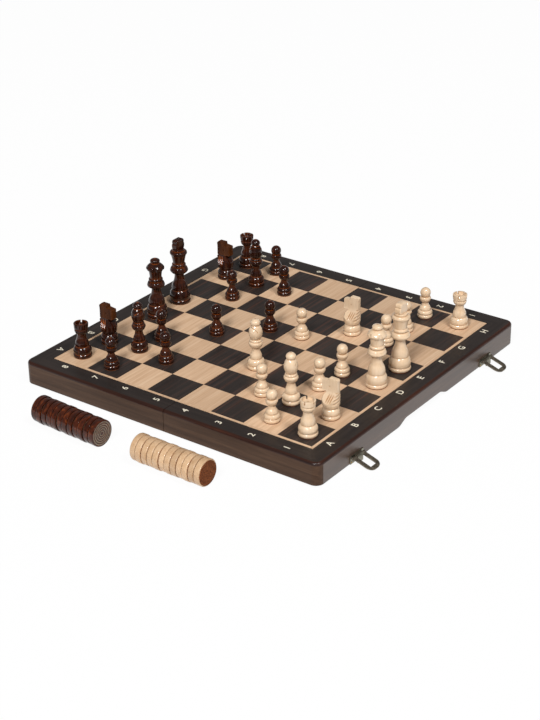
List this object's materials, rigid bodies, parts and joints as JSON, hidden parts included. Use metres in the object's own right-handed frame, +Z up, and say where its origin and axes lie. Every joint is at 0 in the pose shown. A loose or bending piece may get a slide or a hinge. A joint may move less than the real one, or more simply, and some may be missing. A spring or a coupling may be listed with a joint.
{
  "type": "magnetic chess and checkers board",
  "caption": "Folding wooden case whose two trays open flat into an inlaid playing board, with latches, and magnetic chess men and checkers set out on and beside it.",
  "frame": {"origin": "middle of the fold, on the plane of the lower rims of both open halves", "axes": "+Z up from the rims to the playing surface; +X along the fold from file a to file h; +Y from the light men's side, which carries the latch loops, to the dark men's side"},
  "size_m": [0.4507, 0.4115, 0.1039],
  "materials": {
    "wall_wood": "satin lacquer on brown-stained wood",
    "border_wood": "satin lacquer on very dark brown wood",
    "sheet_steel": "bare sheet",
    "light_veneer": "satin lacquer on pale straight-grained veneer",
    "dark_veneer": "satin lacquer on very dark veneer with reddish streaks",
    "lining_felt": "matt felt",
    "hinge_brass": "plain",
    "fastener_brass": "plain",
    "latch_bronze": "antiqued, with bright edges",
    "light_men": "gloss lacquer on pale wood",
    "dark_men": "gloss lacquer on dark red-brown wood",
    "dark_checkers": "gloss lacquer on dark red-brown wood",
    "light_checkers": "satin lacquer on pale wood"
  },
  "bodies": {
    "front_half": {"front_end_wall": "wall_wood", "front_side_walls": "wall_wood", "front_hinge_wall": "wall_wood", "front_top_panel": "border_wood", "front_steel_sheet": "sheet_steel", "front_light_veneer": "light_veneer", "front_dark_veneer": "dark_veneer", "front_lining": "lining_felt", "front_hinge_leaves": "hinge_brass", "front_fasteners": "fastener_brass", "hinge_pins": "hinge_brass", "latch_plates": "latch_bronze"},
    "rear_half": {"rear_end_wall": "wall_wood", "rear_side_walls": "wall_wood", "rear_hinge_wall": "wall_wood", "rear_top_panel": "border_wood", "rear_steel_sheet": "sheet_steel", "rear_light_veneer": "light_veneer", "rear_dark_veneer": "dark_veneer", "rear_lining": "lining_felt", "rear_hinge_leaves": "hinge_brass", "rear_fasteners": "fastener_brass", "latch_hooks": "latch_bronze"},
    "latch_loop_left": {"left_latch_loop": "latch_bronze"},
    "latch_loop_right": {"right_latch_loop": "latch_bronze"},
    "man_black_bishop_b7": {"black_bishop_b7": "dark_men"},
    "man_black_bishop_g7": {"black_bishop_g7": "dark_men"},
    "man_black_king_e8": {"black_king_e8": "dark_men"},
    "man_black_knight_b8": {"black_knight_b8": "dark_men"},
    "man_black_knight_g8": {"black_knight_g8": "dark_men"},
    "man_black_pawn_a7": {"black_pawn_a7": "dark_men"},
    "man_black_pawn_b6": {"black_pawn_b6": "dark_men"},
    "man_black_pawn_c7": {"black_pawn_c7": "dark_men"},
    "man_black_pawn_d6": {"black_pawn_d6": "dark_men"},
    "man_black_pawn_e5": {"black_pawn_e5": "dark_men"},
    "man_black_pawn_f7": {"black_pawn_f7": "dark_men"},
    "man_black_pawn_g6": {"black_pawn_g6": "dark_men"},
    "man_black_pawn_h7": {"black_pawn_h7": "dark_men"},
    "man_black_queen_d8": {"black_queen_d8": "dark_men"},
    "man_black_rook_a8": {"black_rook_a8": "dark_men"},
    "man_black_rook_h8": {"black_rook_h8": "dark_men"},
    "man_white_bishop_b2": {"white_bishop_b2": "light_men"},
    "man_white_bishop_c4": {"white_bishop_c4": "light_men"},
    "man_white_king_e1": {"white_king_e1": "light_men"},
    "man_white_knight_b1": {"white_knight_b1": "light_men"},
    "man_white_knight_f3": {"white_knight_f3": "light_men"},
    "man_white_pawn_a2": {"white_pawn_a2": "light_men"},
    "man_white_pawn_b3": {"white_pawn_b3": "light_men"},
    "man_white_pawn_c2": {"white_pawn_c2": "light_men"},
    "man_white_pawn_d2": {"white_pawn_d2": "light_men"},
    "man_white_pawn_e4": {"white_pawn_e4": "light_men"},
    "man_white_pawn_f2": {"white_pawn_f2": "light_men"},
    "man_white_pawn_g2": {"white_pawn_g2": "light_men"},
    "man_white_pawn_h2": {"white_pawn_h2": "light_men"},
    "man_white_queen_d1": {"white_queen_d1": "light_men"},
    "man_white_rook_a1": {"white_rook_a1": "light_men"},
    "man_white_rook_h1": {"white_rook_h1": "light_men"},
    "row_of_dark_checkers": {"dark_checkers": "dark_checkers"},
    "row_of_light_checkers": {"light_checkers": "light_checkers"}
  },
  "joints": [
    {"name": "board_fold", "type": "hinge", "parent": "front_half", "child": "rear_half", "pos_m": [0, 0, -0.0001], "axis": [-1, 0, 0], "range_deg": [0, 180]},
    {"name": "latch_left", "type": "hinge", "parent": "front_half", "child": "latch_loop_left", "pos_m": [-0.1255, -0.1937, 0.0065], "axis": [1, 0, 0], "range_deg": [-108.3, 71.6]},
    {"name": "latch_right", "type": "hinge", "parent": "front_half", "child": "latch_loop_right", "pos_m": [0.1255, -0.1937, 0.0065], "axis": [1, 0, 0], "range_deg": [-108.3, 71.6]},
    {"name": "lift_black_bishop_b7", "type": "slide", "parent": "rear_half", "child": "man_black_bishop_b7", "axis": [0, 0, 1], "range_m": [0, 0.08]},
    {"name": "lift_black_bishop_g7", "type": "slide", "parent": "rear_half", "child": "man_black_bishop_g7", "axis": [0, 0, 1], "range_m": [0, 0.08]},
    {"name": "lift_black_king_e8", "type": "slide", "parent": "rear_half", "child": "man_black_king_e8", "axis": [0, 0, 1], "range_m": [0, 0.08]},
    {"name": "lift_black_knight_b8", "type": "slide", "parent": "rear_half", "child": "man_black_knight_b8", "axis": [0, 0, 1], "range_m": [0, 0.08]},
    {"name": "lift_black_knight_g8", "type": "slide", "parent": "rear_half", "child": "man_black_knight_g8", "axis": [0, 0, 1], "range_m": [0, 0.08]},
    {"name": "lift_black_pawn_a7", "type": "slide", "parent": "rear_half", "child": "man_black_pawn_a7", "axis": [0, 0, 1], "range_m": [0, 0.08]},
    {"name": "lift_black_pawn_b6", "type": "slide", "parent": "rear_half", "child": "man_black_pawn_b6", "axis": [0, 0, 1], "range_m": [0, 0.08]},
    {"name": "lift_black_pawn_c7", "type": "slide", "parent": "rear_half", "child": "man_black_pawn_c7", "axis": [0, 0, 1], "range_m": [0, 0.08]},
    {"name": "lift_black_pawn_d6", "type": "slide", "parent": "rear_half", "child": "man_black_pawn_d6", "axis": [0, 0, 1], "range_m": [0, 0.08]},
    {"name": "lift_black_pawn_e5", "type": "slide", "parent": "rear_half", "child": "man_black_pawn_e5", "axis": [0, 0, 1], "range_m": [0, 0.08]},
    {"name": "lift_black_pawn_f7", "type": "slide", "parent": "rear_half", "child": "man_black_pawn_f7", "axis": [0, 0, 1], "range_m": [0, 0.08]},
    {"name": "lift_black_pawn_g6", "type": "slide", "parent": "rear_half", "child": "man_black_pawn_g6", "axis": [0, 0, 1], "range_m": [0, 0.08]},
    {"name": "lift_black_pawn_h7", "type": "slide", "parent": "rear_half", "child": "man_black_pawn_h7", "axis": [0, 0, 1], "range_m": [0, 0.08]},
    {"name": "lift_black_queen_d8", "type": "slide", "parent": "rear_half", "child": "man_black_queen_d8", "axis": [0, 0, 1], "range_m": [0, 0.08]},
    {"name": "lift_black_rook_a8", "type": "slide", "parent": "rear_half", "child": "man_black_rook_a8", "axis": [0, 0, 1], "range_m": [0, 0.08]},
    {"name": "lift_black_rook_h8", "type": "slide", "parent": "rear_half", "child": "man_black_rook_h8", "axis": [0, 0, 1], "range_m": [0, 0.08]},
    {"name": "lift_white_bishop_b2", "type": "slide", "parent": "front_half", "child": "man_white_bishop_b2", "axis": [0, 0, 1], "range_m": [0, 0.08]},
    {"name": "lift_white_bishop_c4", "type": "slide", "parent": "front_half", "child": "man_white_bishop_c4", "axis": [0, 0, 1], "range_m": [0, 0.08]},
    {"name": "lift_white_king_e1", "type": "slide", "parent": "front_half", "child": "man_white_king_e1", "axis": [0, 0, 1], "range_m": [0, 0.08]},
    {"name": "lift_white_knight_b1", "type": "slide", "parent": "front_half", "child": "man_white_knight_b1", "axis": [0, 0, 1], "range_m": [0, 0.08]},
    {"name": "lift_white_knight_f3", "type": "slide", "parent": "front_half", "child": "man_white_knight_f3", "axis": [0, 0, 1], "range_m": [0, 0.08]},
    {"name": "lift_white_pawn_a2", "type": "slide", "parent": "front_half", "child": "man_white_pawn_a2", "axis": [0, 0, 1], "range_m": [0, 0.08]},
    {"name": "lift_white_pawn_b3", "type": "slide", "parent": "front_half", "child": "man_white_pawn_b3", "axis": [0, 0, 1], "range_m": [0, 0.08]},
    {"name": "lift_white_pawn_c2", "type": "slide", "parent": "front_half", "child": "man_white_pawn_c2", "axis": [0, 0, 1], "range_m": [0, 0.08]},
    {"name": "lift_white_pawn_d2", "type": "slide", "parent": "front_half", "child": "man_white_pawn_d2", "axis": [0, 0, 1], "range_m": [0, 0.08]},
    {"name": "lift_white_pawn_e4", "type": "slide", "parent": "front_half", "child": "man_white_pawn_e4", "axis": [0, 0, 1], "range_m": [0, 0.08]},
    {"name": "lift_white_pawn_f2", "type": "slide", "parent": "front_half", "child": "man_white_pawn_f2", "axis": [0, 0, 1], "range_m": [0, 0.08]},
    {"name": "lift_white_pawn_g2", "type": "slide", "parent": "front_half", "child": "man_white_pawn_g2", "axis": [0, 0, 1], "range_m": [0, 0.08]},
    {"name": "lift_white_pawn_h2", "type": "slide", "parent": "front_half", "child": "man_white_pawn_h2", "axis": [0, 0, 1], "range_m": [0, 0.08]},
    {"name": "lift_white_queen_d1", "type": "slide", "parent": "front_half", "child": "man_white_queen_d1", "axis": [0, 0, 1], "range_m": [0, 0.08]},
    {"name": "lift_white_rook_a1", "type": "slide", "parent": "front_half", "child": "man_white_rook_a1", "axis": [0, 0, 1], "range_m": [0, 0.08]},
    {"name": "lift_white_rook_h1", "type": "slide", "parent": "front_half", "child": "man_white_rook_h1", "axis": [0, 0, 1], "range_m": [0, 0.08]},
    {"name": "lift_row_of_dark_checkers", "type": "slide", "parent": "front_half", "child": "row_of_dark_checkers", "axis": [0, 0, 1], "range_m": [0, 0.08]},
    {"name": "lift_row_of_light_checkers", "type": "slide", "parent": "front_half", "child": "row_of_light_checkers", "axis": [0, 0, 1], "range_m": [0, 0.08]}
  ]
}
